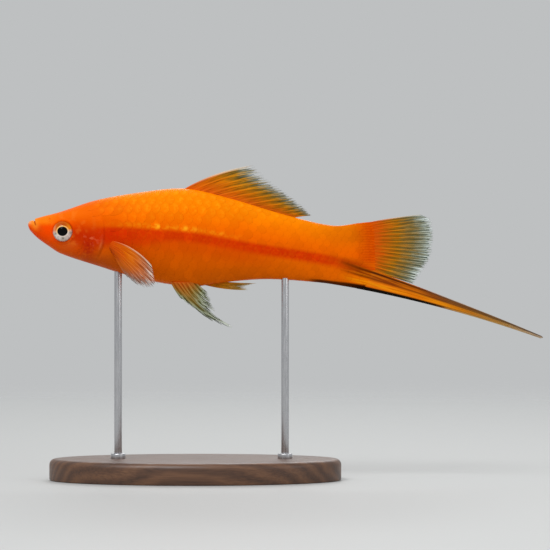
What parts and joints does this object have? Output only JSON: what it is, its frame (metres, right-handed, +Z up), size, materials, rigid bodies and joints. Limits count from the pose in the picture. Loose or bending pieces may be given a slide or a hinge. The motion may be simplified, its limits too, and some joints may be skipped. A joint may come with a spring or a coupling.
{
  "type": "swordtail fish model",
  "caption": "Life-size still model of a male orange swordtail with fins spread and a long tail sword, held level over a flat oval base by slim rods.",
  "frame": {"origin": "middle of the bounding box, on the surface that the stand rests on", "axes": "+X runs from the head to the sword's tip, +Z is up, and the fish's left flank faces -Y"},
  "size_m": [0.12, 0.04, 0.0733],
  "materials": {
    "skin": "wet-looking orange scales with a red stripe along the flank, as a painted model has them",
    "eye": "clear gloss over a silver and gold iris with a black pupil",
    "fins": "thin membrane, orange at the root and clear grey at the edge, over fine rays",
    "sword": "orange and brown bands with a black lower edge",
    "stand_wood": "dark walnut, satin oil",
    "stand_steel": "fine brushed steel"
  },
  "bodies": {
    "root": {"head": "skin", "lower_jaw": "skin", "gill_cover_left": "skin", "gill_cover_right": "skin", "trunk": "skin", "tail_stalk": "skin", "eye_left": "eye", "eye_right": "eye", "dorsal_fin": "fins", "tail_fin": "fins", "sword": "sword", "gonopodium": "fins", "pelvic_fin_left": "fins", "pelvic_fin_right": "fins", "pectoral_fin_left": "fins", "pectoral_fin_right": "fins", "stand_base": "stand_wood", "stand_rod_front": "stand_steel", "stand_rod_rear": "stand_steel"}
  },
  "joints": []
}
